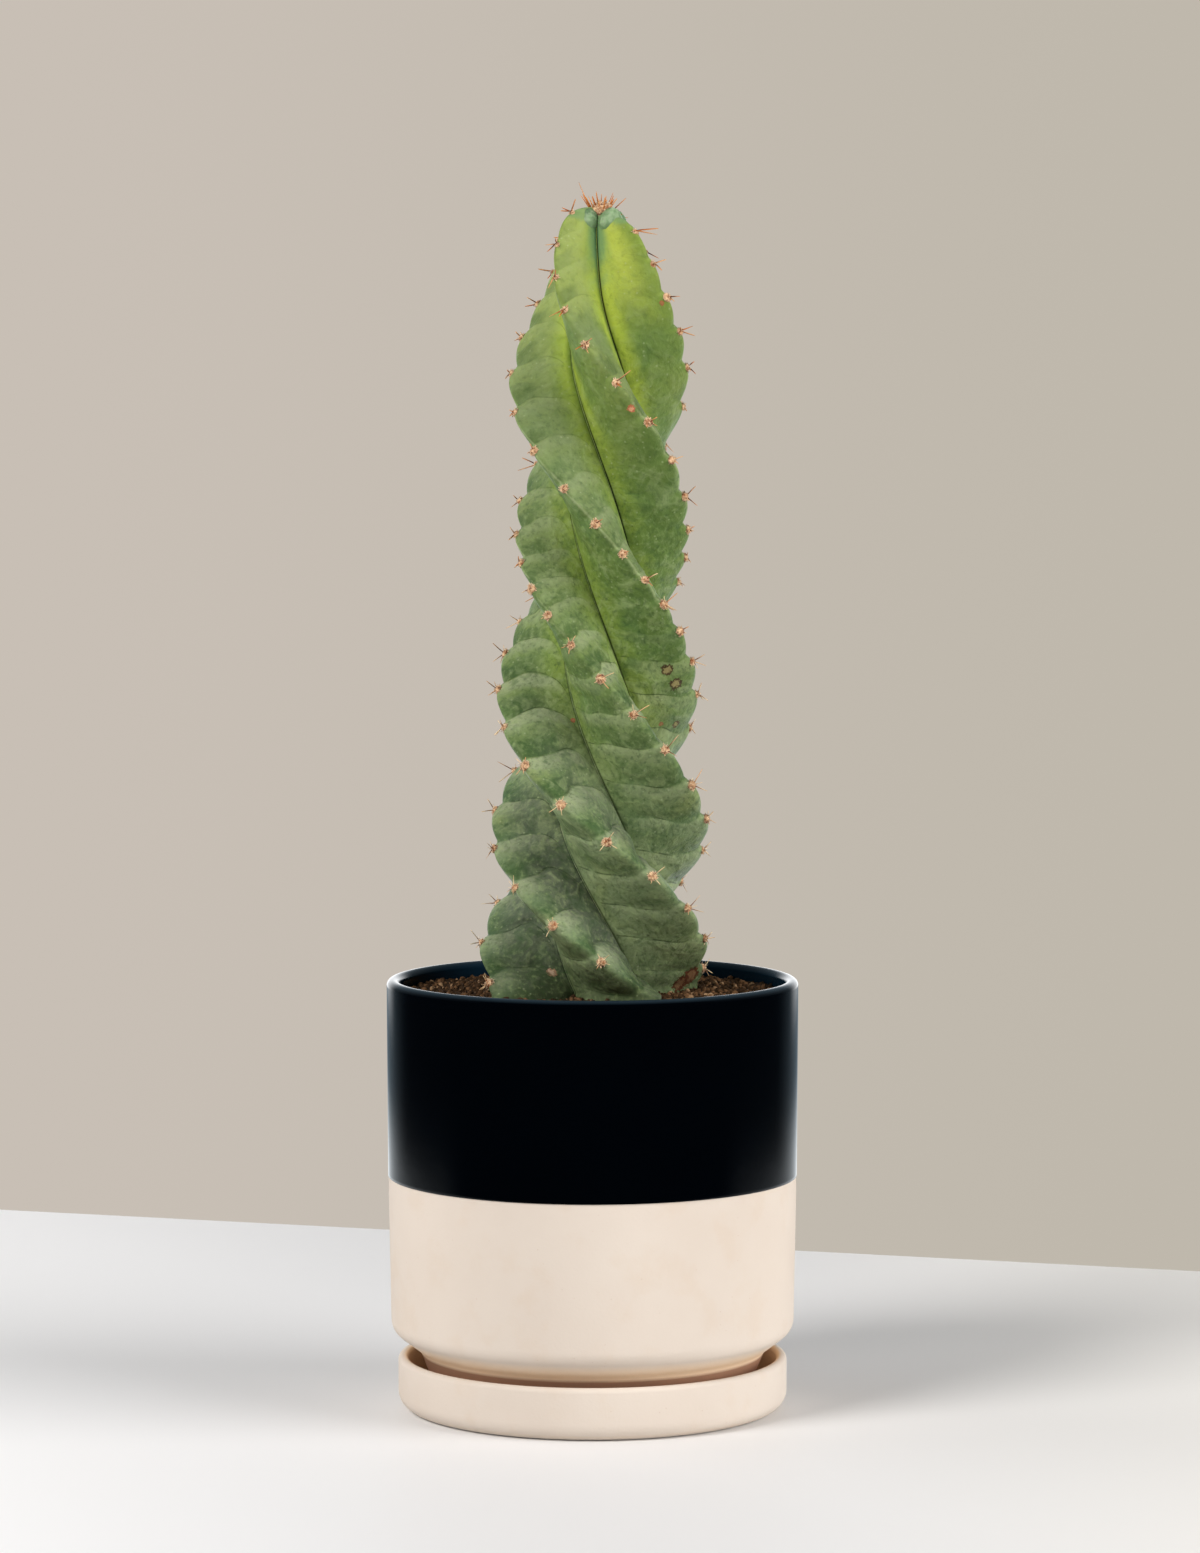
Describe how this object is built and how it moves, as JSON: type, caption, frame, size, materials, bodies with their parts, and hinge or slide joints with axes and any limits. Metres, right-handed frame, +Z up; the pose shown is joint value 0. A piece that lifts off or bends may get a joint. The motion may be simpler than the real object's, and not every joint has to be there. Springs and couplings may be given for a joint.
{
  "type": "potted spiral cactus",
  "caption": "Twisted columnar cactus with scalloped, spiny ribs, standing in soil in a two-tone cylinder pot on a matching round saucer.",
  "frame": {"origin": "middle of the saucer's underside, where the part rests", "axes": "+Z up along the pot's axis, -Y towards the viewer, +X to the viewer's right"},
  "size_m": [0.153, 0.153, 0.4511],
  "materials": {
    "bisque_clay": "bare unglazed clay, matte",
    "navy_glaze": "near-black navy satin glaze",
    "potting_soil": "gritty and damp",
    "cactus_flesh": "waxy green skin with a pale bloom",
    "spines": "smooth orange-brown needles",
    "areole_wool": "short tan wool"
  },
  "bodies": {
    "root": {"saucer": "bisque_clay", "pot": "navy_glaze", "soil": "potting_soil", "cactus_stem": "cactus_flesh"}
  },
  "joints": []
}
